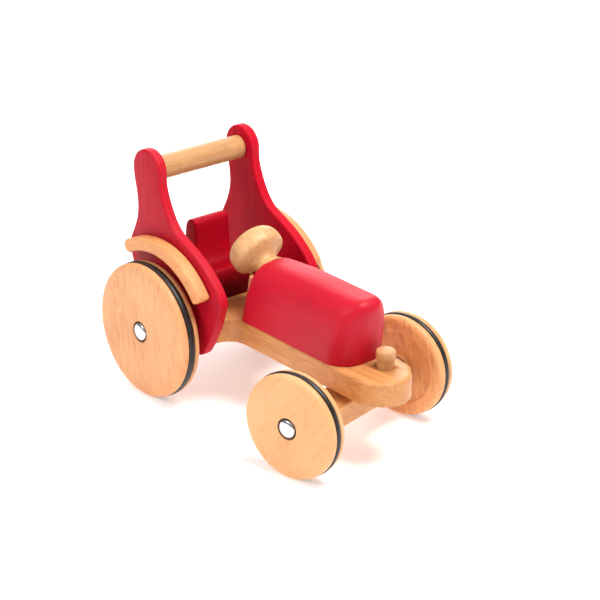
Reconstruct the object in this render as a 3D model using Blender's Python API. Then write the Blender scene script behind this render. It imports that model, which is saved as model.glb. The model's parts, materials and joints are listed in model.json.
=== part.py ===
"""Wooden push-along toy tractor with a red hood, free wheels and a front axle that steers about a peg.

+X is the tractor's front, +Y its left side, +Z up. The floor is z = 0. All dimensions are in millimetres.
"""

import math

import bmesh
import bpy
from mathutils import Vector

MM = 0.001
GAP = 0.3

# Where the rear axle sits in the shared frame, so that the whole tractor is centred on the origin.
REAR_AXLE_X = -83.1

# Chassis board
BOARD_BOTTOM = 53.6
BOARD_TOP = 73.0
BOARD_REAR_X = -32.0
BOARD_HALF_WIDE = 41.7
BOARD_NARROW_Y = (-25.6, 23.6)
BOARD_STEP_X = 53.0
BOARD_FILLET = 15.5
NOSE_CENTRE = (199.3, -1.5)
NOSE_RADIUS = 21.9
BOARD_EDGE = 1.6
NOSE_TOP_EDGE = 3.0
GROOVE_WIDTH = 8.8

# Side panels
PANEL_INNER_Y = 42.0
PANEL_OUTER_Y = 51.0
PANEL_EDGE = 1.8
PANEL_OUTLINE = (
    (-6.7, 177.6), (-5.9, 167.5), (-1.3, 155.5), (6.0, 143.3), (14.5, 135.3), (27.0, 129.6),
    (39.5, 123.6), (51.0, 116.2), (60.5, 108.0), (66.8, 100.0), (69.3, 93.2), (67.3, 86.5),
    (63.3, 73.5), (57.5, 61.0), (51.8, 51.0), (47.5, 45.6), (41.0, 43.2), (20.0, 43.0),
    (-20.0, 43.0), (-31.0, 44.5), (-37.0, 50.0), (-40.0, 60.0), (-41.0, 80.0), (-41.6, 96.0),
    (-44.3, 103.0), (-45.6, 110.5), (-43.6, 116.5), (-39.3, 125.4), (-36.2, 133.5),
    (-34.7, 141.0), (-34.6, 148.0), (-35.8, 156.5), (-38.1, 165.5), (-39.5, 172.5),
)
PANEL_HEAD = (-23.2, 177.6)
PANEL_HEAD_RADIUS = 16.5

# Carrying bar
HANDLE_RADIUS = 9.4
HANDLE_AT = (-23.0, 176.7)

# Mudguards, arcs about the rear axle
GUARD_INNER_RADIUS = 61.8
GUARD_OUTER_RADIUS = 72.8
GUARD_OUTER_Y = 63.0
GUARD_FRONT_ANGLE = 35.8
GUARD_REAR_ANGLE = 118.6
GUARD_EDGE = 2.4

# Hood
HOOD_REAR_X = 60.0
HOOD_FRONT_X = 180.5
HOOD_MIDDLE_Y = -0.7
HOOD_HALF_WIDTH = 24.9
HOOD_TOP = 125.2
HOOD_FULLNESS = 3.0
HOOD_FRONT_PLAN_RADIUS = 19.5
HOOD_FRONT_TOP_RADIUS = 10.5
HOOD_REAR_RADIUS = 8.0
HOOD_LEAN_REAR = 0.18
HOOD_LEAN_FRONT = 0.16

# Console plate behind the hood
CONSOLE_REAR_X = 56.4
CONSOLE_HALF_WIDTH = 17.0
CONSOLE_TOP = 108.0

# Seat block
SEAT_HALF_WIDTH = 17.0
SEAT_OUTLINE = (
    (23.5, 73.3), (23.5, 93.5), (21.0, 97.5), (16.5, 98.0), (8.0, 96.6), (2.0, 99.5),
    (-1.6, 107.0), (-3.0, 117.0), (-3.6, 128.0), (-5.4, 131.2), (-9.0, 132.2), (-13.6, 130.8),
    (-16.4, 126.6), (-17.2, 120.0), (-17.2, 73.3),
)

# Steering knob, leaning back over the console
KNOB_BASE = (68.6, 111.1)
KNOB_LEAN = 59.8
KNOB_PROFILE = (
    (12.4, 0.3), (12.7, 1.0), (11.6, 2.6), (10.1, 4.6), (10.0, 7.4), (12.3, 10.2), (17.0, 12.8),
    (20.6, 15.0), (21.7, 17.5), (21.8, 21.5), (21.3, 25.0), (19.6, 28.5), (16.4, 31.2),
    (11.0, 33.0), (5.0, 33.8),
)
KNOB_SEAT_RADIUS = 14.2
STEM_RADIUS = 4.0
STEM_BELOW = 20.0
STEM_ABOVE = 16.0

# Wheels: radius of the rubber ring, and distance of its middle plane from the tractor's middle
REAR_WHEEL_RADIUS = 55.0
REAR_HALF_TRACK = 65.8
REAR_LEFT_FURTHER_OUT = 2.8
FRONT_WHEEL_RADIUS = 41.7
FRONT_HALF_TRACK = 68.9
REAR_RING_HALF_WIDTH = 2.8
FRONT_RING_HALF_WIDTH = 2.1
RING_DEPTH = 3.4
RIM_BELOW_RING = 0.6
WHEEL_INNER_FACE = -9.3
WHEEL_OUTER_FACE = 10.0
HUB_RECESS_RADIUS = 8.3
ROD_RADIUS = 4.0
BORE_RADIUS = 4.3
CAP_RADIUS = 7.4

# Steered front axle
STEER_ANGLE = 11.2
KINGPIN_AT = (194.3, 5.94)
AXLE_TRAIL = 30.6
PEG_SHANK_RADIUS = 6.7
PEG_HOLE_RADIUS = 7.25
PEG_HEAD_RADIUS = 7.5
PEG_HEAD_BOTTOM = 79.5
PEG_TOP = 87.4
PEG_BOTTOM = 48.8
BEAM_HALF_LENGTH = 56.6
BEAM_BACK = -14.0
BEAM_FRONT = 16.0
BEAM_BOTTOM = 28.8
BEAM_TOP = 48.2
TONGUE_BOTTOM = 48.5
TONGUE_TOP = 53.3
TONGUE_HALF_WIDTH = 12.5


def clear_scene():
    for obj in list(bpy.data.objects):
        bpy.data.objects.remove(obj, do_unlink=True)


def material(name, colour, roughness, metallic=0.0):
    made = bpy.data.materials.new(name)
    made.use_nodes = True
    shader = made.node_tree.nodes["Principled BSDF"]
    shader.inputs["Base Color"].default_value = (*colour, 1.0)
    shader.inputs["Roughness"].default_value = roughness
    shader.inputs["Metallic"].default_value = metallic
    made.diffuse_color = (*colour, 1.0)
    return made


def empty(name, location, parent=None, turn=0.0):
    made = bpy.data.objects.new(name, None)
    bpy.context.scene.collection.objects.link(made)
    made.parent = parent
    made.location = Vector(location) * MM
    made.rotation_euler = (0.0, 0.0, turn)
    return made


def add(name, vertices, faces, look, parent, location=(0, 0, 0), rotation=(0, 0, 0), smooth=None):
    """One closed body from vertices in millimetres. Smooth shading keeps creases over the angle smooth."""
    mesh = bpy.data.meshes.new(name)
    mesh.from_pydata([Vector(v) * MM for v in vertices], [], faces)
    bm = bmesh.new()
    bm.from_mesh(mesh)
    bmesh.ops.remove_doubles(bm, verts=bm.verts, dist=1e-7)
    bmesh.ops.recalc_face_normals(bm, faces=bm.faces)
    if smooth:
        for face in bm.faces:
            face.smooth = True
        for edge in bm.edges:
            edge.smooth = len(edge.link_faces) == 2 and edge.calc_face_angle() < math.radians(smooth)
    bm.to_mesh(mesh)
    bm.free()
    obj = bpy.data.objects.new(name, mesh)
    bpy.context.scene.collection.objects.link(obj)
    obj.parent = parent
    obj.location = Vector(location) * MM
    obj.rotation_euler = rotation
    if look:
        mesh.materials.append(look)
    return obj


def ring_points(radius, height, segments):
    """Points on a circle round Z."""
    turns = [2 * math.pi * i / segments for i in range(segments)]
    return [(radius * math.cos(a), radius * math.sin(a), height) for a in turns]


def turned(name, profile, segments, look, parent, closed=False, **placing):
    """A body turned round Z from (radius, height) pairs. An open profile is capped flat at both ends."""
    vertices = []
    for radius, height in profile:
        vertices += ring_points(radius, height, segments)
    faces = []
    rows = len(profile)
    for row in range(rows if closed else rows - 1):
        low = row * segments
        high = (row + 1) % rows * segments
        for i in range(segments):
            j = (i + 1) % segments
            faces.append((low + i, low + j, high + j, high + i))
    if not closed:
        faces.append(tuple(range(segments)))
        faces.append(tuple(range((rows - 1) * segments, rows * segments)))
    return add(name, vertices, faces, look, parent, smooth=35, **placing)


def smooth_chain(points, steps):
    """A Catmull-Rom curve through the points, open at both ends."""
    ends = [points[0], *points, points[-1]]
    made = []
    for a, b, c, d in zip(ends, ends[1:], ends[2:], ends[3:]):
        for step in range(steps):
            t = step / steps
            made.append(tuple(
                0.5 * (2 * q + (r - p) * t + (2 * p - 5 * q + 4 * r - s) * t * t
                       + (3 * q - p - 3 * r + s) * t * t * t)
                for p, q, r, s in zip(a, b, c, d)
            ))
    made.append(tuple(points[-1]))
    return made


def arc(centre, radius, start, end, steps):
    """Points of an arc, angles in degrees."""
    turns = [math.radians(start + (end - start) * i / steps) for i in range(steps + 1)]
    return [(centre[0] + radius * math.cos(a), centre[1] + radius * math.sin(a)) for a in turns]


def rounded_corners(corners, radius, steps=3):
    """A convex polygon's outline with each corner rounded."""
    made = []
    count = len(corners)
    for i, corner in enumerate(corners):
        here = Vector(corner)
        before = (Vector(corners[i - 1]) - here).normalized()
        after = (Vector(corners[(i + 1) % count]) - here).normalized()
        half = before.angle(after) / 2
        reach = radius / math.tan(half)
        centre = here + (before + after).normalized() * (radius / math.sin(half))
        first = here + before * reach - centre
        last = here + after * reach - centre
        sweep = first.angle_signed(last)
        for step in range(steps + 1):
            turn = -sweep * step / steps
            cosine, sine = math.cos(turn), math.sin(turn)
            made.append((centre.x + first.x * cosine - first.y * sine,
                         centre.y + first.x * sine + first.y * cosine))
    return made


def inward(outline):
    """For each point of an anticlockwise outline, the step that moves its two edges in by one."""
    made = []
    count = len(outline)
    for i in range(count):
        a, b, c = (Vector(outline[k % count]) for k in (i - 1, i, i + 1))
        one, two = (b - a).normalized(), (c - b).normalized()
        left_one, left_two = Vector((-one.y, one.x)), Vector((-two.y, two.x))
        middle = (left_one + left_two).normalized()
        made.append(middle / max(0.5, middle.dot(left_one)))
    return made


def slab(name, outline, low, high, edge, look, parent, plane="XY", top_edge=None, steps=2):
    """A board with rounded edges: an anticlockwise outline extruded from low to high.

    edge is the rounding radius; top_edge, if given, returns the radius at the high side for a point.
    """
    step_in = inward(outline)
    count = len(outline)
    rings = []
    for step in range(steps + 1):
        turn = math.pi / 2 * step / steps
        rings.append([(p[0] + n.x * edge * (1 - math.sin(turn)), p[1] + n.y * edge * (1 - math.sin(turn)),
                       low + edge * (1 - math.cos(turn))) for p, n in zip(outline, step_in)])
    for step in range(steps, -1, -1):
        turn = math.pi / 2 * step / steps
        ring = []
        for p, n in zip(outline, step_in):
            radius = top_edge(p) if top_edge else edge
            inset = radius * (1 - math.sin(turn))
            ring.append((p[0] + n.x * inset, p[1] + n.y * inset, high - radius * (1 - math.cos(turn))))
        rings.append(ring)
    vertices = [point for ring in rings for point in ring]
    if plane == "XZ":
        vertices = [(x, z, y) for x, y, z in vertices]
    faces = [tuple(range(count)), tuple(range((len(rings) - 1) * count, len(rings) * count))]
    for row in range(len(rings) - 1):
        for i in range(count):
            j = (i + 1) % count
            faces.append((row * count + i, row * count + j, (row + 1) * count + j, (row + 1) * count + i))
    return add(name, vertices, faces, look, parent, smooth=40)


def box(name, low, high, parent):
    vertices = [(x, y, z) for x in (low[0], high[0]) for y in (low[1], high[1]) for z in (low[2], high[2])]
    faces = [(0, 1, 3, 2), (4, 6, 7, 5), (0, 4, 5, 1), (2, 3, 7, 6), (0, 2, 6, 4), (1, 5, 7, 3)]
    return add(name, vertices, faces, None, parent)


def cut(obj, cutter):
    cutter.hide_render = True
    cutter.display_type = "WIRE"
    modifier = obj.modifiers.new(cutter.name, "BOOLEAN")
    modifier.operation = "DIFFERENCE"
    modifier.solver = "EXACT"
    modifier.object = cutter


def drill(obj, name, radius, length, parent, **placing):
    """A straight round hole along the cutter's own Z, from its location upward."""
    cut(obj, turned(name, ((radius, 0.0), (radius, length)), 32, None, parent, **placing))


def quarter(distance, radius):
    """How far a quarter-round of this radius has risen, at a distance in from its foot."""
    short = max(0.0, radius - distance)
    return radius - math.sqrt(max(0.0, radius * radius - short * short))


def chassis_outline():
    """The board seen from above, anticlockwise."""
    sides = []
    for sign, edge_y in ((-1, BOARD_NARROW_Y[0]), (1, BOARD_NARROW_Y[1])):
        rear = [(BOARD_REAR_X, -BOARD_HALF_WIDE + 4.0), (BOARD_REAR_X + 1.2, -BOARD_HALF_WIDE + 1.2),
                (BOARD_REAR_X + 4.0, -BOARD_HALF_WIDE), (BOARD_STEP_X - 1.5, -BOARD_HALF_WIDE)]
        fillet = arc((BOARD_STEP_X + BOARD_FILLET, -abs(edge_y) - BOARD_FILLET), BOARD_FILLET, 178.0, 90.0, 8)
        shoulder = [(168.0, -abs(edge_y)), (NOSE_CENTRE[0] + 1.7, -abs(edge_y) + 0.2),
                    (NOSE_CENTRE[0] + 3.7, -abs(edge_y) + 1.0)]
        sides.append([(x, -sign * y) for x, y in rear + fillet + shoulder])
    nose = arc(NOSE_CENTRE, NOSE_RADIUS, -68.0, 68.0, 16)
    return sides[0] + nose + sides[1][::-1]


def nose_edge(point):
    share = min(1.0, max(0.0, (point[0] - 182.0) / 20.0))
    return BOARD_EDGE + (NOSE_TOP_EDGE - BOARD_EDGE) * share


def panel_outline():
    """The side panel seen from the right, anticlockwise from the front of its rounded head."""
    head = arc(PANEL_HEAD, PANEL_HEAD_RADIUS, 0.0, 180.0, 12)
    edge = smooth_chain([head[-1], *reversed(PANEL_OUTLINE[1:]), head[0]], 2)
    return head + edge[1:-1]


def guard_outline():
    """The mudguard seen from the right, anticlockwise: square front end, rounded rear end."""
    axle = (0.0, REAR_WHEEL_RADIUS)
    middle = (GUARD_INNER_RADIUS + GUARD_OUTER_RADIUS) / 2
    half = (GUARD_OUTER_RADIUS - GUARD_INNER_RADIUS) / 2
    outer = arc(axle, GUARD_OUTER_RADIUS, GUARD_FRONT_ANGLE + 1.8, GUARD_REAR_ANGLE, 20)
    turn = math.radians(GUARD_REAR_ANGLE)
    end = (axle[0] + middle * math.cos(turn), axle[1] + middle * math.sin(turn))
    rear = arc(end, half, GUARD_REAR_ANGLE, GUARD_REAR_ANGLE + 180.0, 8)[1:-1]
    inner = arc(axle, GUARD_INNER_RADIUS, GUARD_REAR_ANGLE, GUARD_FRONT_ANGLE + 2.0, 20)
    corner_in = arc(axle, GUARD_INNER_RADIUS + 0.9, GUARD_FRONT_ANGLE + 0.5, GUARD_FRONT_ANGLE + 0.5, 1)[:1]
    corner_in += arc(axle, GUARD_INNER_RADIUS + 2.4, GUARD_FRONT_ANGLE, GUARD_FRONT_ANGLE, 1)[:1]
    corner_out = arc(axle, GUARD_OUTER_RADIUS - 2.4, GUARD_FRONT_ANGLE, GUARD_FRONT_ANGLE, 1)[:1]
    corner_out += arc(axle, GUARD_OUTER_RADIUS - 0.7, GUARD_FRONT_ANGLE + 0.5, GUARD_FRONT_ANGLE + 0.5, 1)[:1]
    return outer + rear + inner + corner_in + corner_out


def hood_section(x):
    """Half-width, top height and forward lean of the hood at x."""
    from_front = HOOD_FRONT_X - x
    from_rear = x - HOOD_REAR_X
    share = from_rear / (HOOD_FRONT_X - HOOD_REAR_X)
    width = HOOD_HALF_WIDTH - quarter(from_front, HOOD_FRONT_PLAN_RADIUS)
    width -= quarter(from_rear, HOOD_REAR_RADIUS)
    top = HOOD_TOP - 4.0 * max(0.0, 1.0 - share / 0.45) ** 1.6
    top -= quarter(from_front, HOOD_FRONT_TOP_RADIUS) + quarter(from_rear, HOOD_REAR_RADIUS)
    return width, top, HOOD_LEAN_REAR + (HOOD_LEAN_FRONT - HOOD_LEAN_REAR) * share


def hood(look, parent):
    rear_steps = [HOOD_REAR_X + HOOD_REAR_RADIUS * (1 - math.cos(math.radians(a)))
                  for a in (0, 22, 44, 66, 90)]
    middle_steps = [79.0, 94.0, 114.0, 140.0]
    front_steps = [HOOD_FRONT_X - HOOD_FRONT_PLAN_RADIUS * (1 - math.cos(math.radians(a)))
                   for a in (90, 76, 62, 50, 39, 28, 18, 9, 0)]
    bottom = BOARD_TOP + GAP
    count = 23
    turns = [math.pi * i / (count - 1) for i in range(count)]
    vertices = []
    for x in rear_steps + middle_steps + front_steps:
        width, top, lean = hood_section(x)
        for turn in turns:
            across = math.copysign(abs(math.cos(turn)) ** (2 / HOOD_FULLNESS), math.cos(turn))
            up = (top - bottom) * abs(math.sin(turn)) ** (2 / HOOD_FULLNESS) if 0 < turn < math.pi else 0.0
            vertices.append((x + lean * up, HOOD_MIDDLE_Y + width * across, bottom + up))
    rows = len(vertices) // count
    faces = [tuple(range(count)), tuple(range((rows - 1) * count, rows * count))]
    for row in range(rows - 1):
        for i in range(count):
            j = (i + 1) % count
            faces.append((row * count + i, row * count + j, (row + 1) * count + j, (row + 1) * count + i))
    return add("hood", vertices, faces, look, parent, smooth=50)


def wheel_profile(ring_radius, ring_half):
    """A turned wheel with a groove for the rubber ring: height is measured out from the ring's middle."""
    rim = ring_radius - RIM_BELOW_RING
    floor = ring_radius - RING_DEPTH - GAP
    half = ring_half + GAP
    outer, inner = WHEEL_OUTER_FACE, WHEEL_INNER_FACE
    recess = 0.7 * rim
    return (
        (BORE_RADIUS, inner), (9.0, inner), (10.0, inner + 2.2), (recess, inner + 2.2), (recess + 1.6, inner),
        (rim - 4.2, inner + 0.3), (rim - 1.2, inner + 1.6), (rim, inner + 4.2), (rim, -half),
        (floor, -half), (floor, half), (rim, half), (rim, outer - 4.4), (rim - 0.7, outer - 2.7),
        (rim - 2.4, outer - 1.4), (rim - 6.5, outer - 0.6), (0.6 * rim, outer - 0.1),
        (HUB_RECESS_RADIUS + 0.5, outer), (HUB_RECESS_RADIUS, outer - 0.5), (HUB_RECESS_RADIUS, outer - 2.0),
        (BORE_RADIUS, outer - 2.0),
    )


def ring_profile(ring_radius, half):
    low = ring_radius - RING_DEPTH
    return (
        (low, -half), (ring_radius - 1.5, -half), (ring_radius - 0.45, -0.62 * half), (ring_radius, 0.0),
        (ring_radius - 0.45, 0.62 * half), (ring_radius - 1.5, half), (low, half),
    )


def wheel(side, where, hub, segments, radius, looks):
    """A wooden wheel and its rubber ring on a hub empty at the ring's middle, axle along Y."""
    tilt = (math.pi / 2 if side == "right" else -math.pi / 2, 0.0, 0.0)
    ring_half = FRONT_RING_HALF_WIDTH if where == "front" else REAR_RING_HALF_WIDTH
    turned(f"wheel_{where}_{side}", wheel_profile(radius, ring_half), segments, looks["wheel"], hub,
           closed=True, rotation=tilt)
    turned(f"rubber_ring_{where}_{side}", ring_profile(radius, ring_half), segments, looks["rubber"], hub,
           closed=True, rotation=tilt)


def cap(side, where, parent, location, look):
    """A domed metal cap pushed onto the rod's end; its height is measured out from the ring's middle."""
    tilt = (math.pi / 2 if side == "right" else -math.pi / 2, 0.0, 0.0)
    low = WHEEL_OUTER_FACE - 2.0 + GAP
    profile = [(BORE_RADIUS, low + 1.3), (BORE_RADIUS, low), (CAP_RADIUS - 0.5, low), (CAP_RADIUS, low + 0.5),
               (CAP_RADIUS - 0.3, low + 1.3), (CAP_RADIUS - 1.8, low + 2.2), (CAP_RADIUS - 4.2, low + 2.9),
               (1.4, low + 3.2)]
    turned(f"axle_cap_{where}_{side}", profile, 20, look, parent, location=location, rotation=tilt)


def axle_parts(where, parent, middle, half_track, spacer_inner, looks, further=0.0):
    """The rod, its two caps and the two spacers, which don't turn with the wheels.

    further is how much further out the left wheel sits than the right one.
    """
    reach = half_track + WHEEL_OUTER_FACE - 2.0 + GAP + 1.0
    left = -reach - further
    rod = ((ROD_RADIUS - 0.4, left), (ROD_RADIUS, left + 0.4), (ROD_RADIUS, reach - 0.4),
           (ROD_RADIUS - 0.4, reach))
    turned(f"axle_rod_{where}", rod, 24, looks["steel"], parent,
           location=middle, rotation=(math.pi / 2, 0.0, 0.0))
    for side, sign, beyond in (("right", -1, 0.0), ("left", 1, further)):
        spacer_outer = half_track + beyond + WHEEL_INNER_FACE - GAP
        end = (middle[0], middle[1] + sign * (half_track + beyond), middle[2])
        cap(side, where, parent, end, looks["chrome"])
        tilt = (math.pi / 2 if side == "right" else -math.pi / 2, 0.0, 0.0)
        ring = ((BORE_RADIUS, spacer_inner), (8.0, spacer_inner), (8.0, spacer_outer),
                (BORE_RADIUS, spacer_outer))
        turned(f"spacer_{where}_{side}", ring, 24, looks["spacer"], parent, closed=True,
               location=middle, rotation=tilt)


def chassis(looks, body, kingpin):
    board = slab("chassis_board", chassis_outline(), BOARD_BOTTOM, BOARD_TOP, BOARD_EDGE, looks["board"],
                 body, top_edge=nose_edge, steps=3)
    drill(board, "kingpin_hole", PEG_HOLE_RADIUS, 40.0, body, location=(*kingpin, BOARD_BOTTOM - 10.0))
    groove_top = REAR_WHEEL_RADIUS + ROD_RADIUS + GAP
    cut(board, box("axle_groove", (-GROOVE_WIDTH / 2, -60.0, BOARD_BOTTOM - 5.0),
                   (GROOVE_WIDTH / 2, 60.0, groove_top), body))


def side_parts(side, looks, body):
    """One red side panel with its mudguard."""
    sign = -1 if side == "right" else 1
    inner, outer = sorted((sign * PANEL_INNER_Y, sign * PANEL_OUTER_Y))
    panel = slab(f"side_panel_{side}", panel_outline(), inner, outer, PANEL_EDGE, looks["red_ply"], body,
                 plane="XZ")
    drill(panel, f"axle_hole_{side}", BORE_RADIUS, 20.0, body, location=(0.0, inner - 5.0, REAR_WHEEL_RADIUS),
          rotation=(-math.pi / 2, 0.0, 0.0))
    near, far = sorted((sign * (PANEL_OUTER_Y + GAP), sign * GUARD_OUTER_Y))
    slab(f"mudguard_{side}", guard_outline(), near, far, GUARD_EDGE, looks["guard"], body, plane="XZ")


def knob(looks, body, hood_body, console):
    """The mushroom knob, its stem, and the seat and hole for them in the hood."""
    lean = math.radians(KNOB_LEAN)
    pivot = empty("knob_pivot", (KNOB_BASE[0], 0.0, KNOB_BASE[1]), body)
    pivot.rotation_euler = (0.0, -lean, 0.0)
    made = turned("steering_knob", KNOB_PROFILE, 32, looks["knob"], pivot)
    drill(made, "stem_socket", STEM_RADIUS + GAP, STEM_ABOVE + GAP + 5.0, pivot, location=(0.0, 0.0, -5.0))
    profile = ((STEM_RADIUS - 0.6, -STEM_BELOW), (STEM_RADIUS, -STEM_BELOW + 0.6), (STEM_RADIUS, STEM_ABOVE))
    turned("knob_stem", profile, 24, looks["dowel"], pivot)
    drill(hood_body, "knob_seat", KNOB_SEAT_RADIUS, 40.0, pivot)
    drill(console, "knob_clearance", KNOB_SEAT_RADIUS, 40.0, pivot)
    drill(hood_body, "stem_hole", STEM_RADIUS + GAP, STEM_BELOW + GAP + 5.0, pivot,
          location=(0.0, 0.0, -STEM_BELOW - GAP))


def front_axle(looks, steer):
    """The carriage that turns about the peg; its own X is the direction in which the front wheels roll."""
    middle = (-AXLE_TRAIL, 0.0, FRONT_WHEEL_RADIUS)
    low_x, high_x = -AXLE_TRAIL + BEAM_BACK, -AXLE_TRAIL + BEAM_FRONT
    corners = [(low_x, BEAM_BOTTOM), (high_x, BEAM_BOTTOM), (high_x, BEAM_TOP), (low_x, BEAM_TOP)]
    beam = slab("front_axle_beam", rounded_corners(corners, 2.5), -BEAM_HALF_LENGTH, BEAM_HALF_LENGTH, 1.2,
                looks["board"], steer, plane="XZ")
    drill(beam, "front_rod_hole", BORE_RADIUS, 140.0, steer, location=(middle[0], -70.0, middle[2]),
          rotation=(-math.pi / 2, 0.0, 0.0))
    nose = arc((0.0, 0.0), TONGUE_HALF_WIDTH, -90.0, 90.0, 12)
    back = [(low_x + 1.0, TONGUE_HALF_WIDTH), (low_x + 1.0, -TONGUE_HALF_WIDTH)]
    tongue = slab("steer_tongue", nose + back, TONGUE_BOTTOM, TONGUE_TOP, 0.8, looks["board"], steer)
    drill(tongue, "peg_socket", PEG_SHANK_RADIUS + GAP, 30.0, steer, location=(0.0, 0.0, 35.0))
    peg = ((PEG_SHANK_RADIUS - 0.5, PEG_BOTTOM), (PEG_SHANK_RADIUS, PEG_BOTTOM + 0.5),
           (PEG_SHANK_RADIUS, PEG_HEAD_BOTTOM), (PEG_HEAD_RADIUS - 0.4, PEG_HEAD_BOTTOM),
           (PEG_HEAD_RADIUS, PEG_HEAD_BOTTOM + 0.5), (PEG_HEAD_RADIUS, PEG_TOP - 1.9),
           (PEG_HEAD_RADIUS - 0.5, PEG_TOP - 0.8), (PEG_HEAD_RADIUS - 1.6, PEG_TOP - 0.2), (3.0, PEG_TOP))
    turned("kingpin_peg", peg, 32, looks["knob"], steer)
    axle_parts("front", steer, middle, FRONT_HALF_TRACK, BEAM_HALF_LENGTH + GAP, looks)
    for side, sign in (("right", -1), ("left", 1)):
        hub = empty(f"hub_front_{side}", (middle[0], sign * FRONT_HALF_TRACK, middle[2]), steer)
        wheel(side, "front", hub, 44, FRONT_WHEEL_RADIUS, looks)


def main():
    clear_scene()
    looks = {
        "board": material("alder_board", (0.72, 0.37, 0.16), 0.5),
        "wheel": material("pale_alder", (0.86, 0.56, 0.30), 0.5),
        "guard": material("alder_guard", (0.80, 0.47, 0.22), 0.5),
        "knob": material("turned_wood", (0.78, 0.50, 0.26), 0.5),
        "dowel": material("dowel_wood", (0.62, 0.36, 0.18), 0.5),
        "red_ply": material("red_plywood", (0.55, 0.03, 0.06), 0.55),
        "red": material("red_stained_wood", (0.60, 0.03, 0.06), 0.5),
        "rubber": material("black_rubber", (0.03, 0.025, 0.02), 0.6),
        "chrome": material("bright_cap", (0.85, 0.85, 0.87), 0.12, 1.0),
        "steel": material("steel_rod", (0.55, 0.55, 0.56), 0.3, 1.0),
        "spacer": material("pale_spacer", (0.80, 0.74, 0.64), 0.5),
    }
    body = empty("tractor", (REAR_AXLE_X, 0.0, 0.0))
    chassis(looks, body, KINGPIN_AT)
    hood_body = hood(looks["red"], body)
    low = BOARD_TOP + GAP
    foot_x = HOOD_REAR_X - GAP
    lean = HOOD_LEAN_REAR * (CONSOLE_TOP - low)
    corners = [(CONSOLE_REAR_X, low), (foot_x, low), (foot_x + lean, CONSOLE_TOP),
               (CONSOLE_REAR_X + lean, CONSOLE_TOP)]
    console = slab("console_plate", rounded_corners(corners, 0.8, 2), -CONSOLE_HALF_WIDTH, CONSOLE_HALF_WIDTH,
                   0.8, looks["guard"], body, plane="XZ")
    slab("seat_block", SEAT_OUTLINE, -SEAT_HALF_WIDTH, SEAT_HALF_WIDTH, 1.5, looks["red"], body, plane="XZ")
    for side in ("right", "left"):
        side_parts(side, looks, body)
    grip = PANEL_INNER_Y - GAP
    turned("handle_bar", ((HANDLE_RADIUS, -grip), (HANDLE_RADIUS, grip)), 40, looks["dowel"], body,
           location=(HANDLE_AT[0], 0.0, HANDLE_AT[1]), rotation=(math.pi / 2, 0.0, 0.0))
    knob(looks, body, hood_body, console)
    axle_parts("rear", body, (0.0, 0.0, REAR_WHEEL_RADIUS), REAR_HALF_TRACK, PANEL_OUTER_Y + GAP, looks,
               REAR_LEFT_FURTHER_OUT)
    left_track = REAR_HALF_TRACK + REAR_LEFT_FURTHER_OUT
    for side, hub_y in (("right", -REAR_HALF_TRACK), ("left", left_track)):
        hub = empty(f"hub_rear_{side}", (0.0, hub_y, REAR_WHEEL_RADIUS), body)
        wheel(side, "rear", hub, 52, REAR_WHEEL_RADIUS, looks)
    steer = empty("kingpin_axis", (*KINGPIN_AT, 0.0), body, math.radians(STEER_ANGLE))
    front_axle(looks, steer)


main()
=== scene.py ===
"""Wooden toy tractor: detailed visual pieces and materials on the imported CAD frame.

+X is the tractor's front, +Y its left side, +Z up. Shape helpers take millimetres, and objects are in metres.
"""

import json
import math

import bmesh
import bpy
from mathutils import Matrix, Vector

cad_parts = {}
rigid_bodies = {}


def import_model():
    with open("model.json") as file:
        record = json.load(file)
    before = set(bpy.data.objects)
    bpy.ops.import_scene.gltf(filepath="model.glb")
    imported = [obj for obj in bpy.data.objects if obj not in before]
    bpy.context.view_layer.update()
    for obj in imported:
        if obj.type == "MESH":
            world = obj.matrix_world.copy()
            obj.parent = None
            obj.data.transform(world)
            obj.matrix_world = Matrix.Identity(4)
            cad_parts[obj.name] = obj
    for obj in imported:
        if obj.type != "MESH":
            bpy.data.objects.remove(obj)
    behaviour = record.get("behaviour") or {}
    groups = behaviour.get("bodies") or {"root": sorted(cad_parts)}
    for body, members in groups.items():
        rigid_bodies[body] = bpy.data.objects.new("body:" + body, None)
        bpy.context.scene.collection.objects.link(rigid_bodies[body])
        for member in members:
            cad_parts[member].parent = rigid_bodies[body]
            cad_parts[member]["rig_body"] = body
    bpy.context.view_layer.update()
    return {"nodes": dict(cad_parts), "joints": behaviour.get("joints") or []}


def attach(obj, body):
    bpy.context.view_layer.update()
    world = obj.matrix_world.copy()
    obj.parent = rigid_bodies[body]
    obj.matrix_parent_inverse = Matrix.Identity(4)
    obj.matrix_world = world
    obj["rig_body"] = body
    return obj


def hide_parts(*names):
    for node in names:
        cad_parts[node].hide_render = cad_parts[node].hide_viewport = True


MM = 0.001

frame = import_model()
nodes = frame["nodes"]
joints = {joint["name"]: joint for joint in frame["joints"]}


# ---------------------------------------------------------------- materials

OILED_ROUGHNESS = 0.42
# Painted shade: the dark ring round each wheel's cap, where its recess lies in shadow.
CAP_RECESS_SHADE = (0.030, 0.016, 0.010)
EDGE_RED = (0.66, 0.008, 0.026)
PLY_PAIR = 0.0030  # metres through one light and one dark ply


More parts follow.
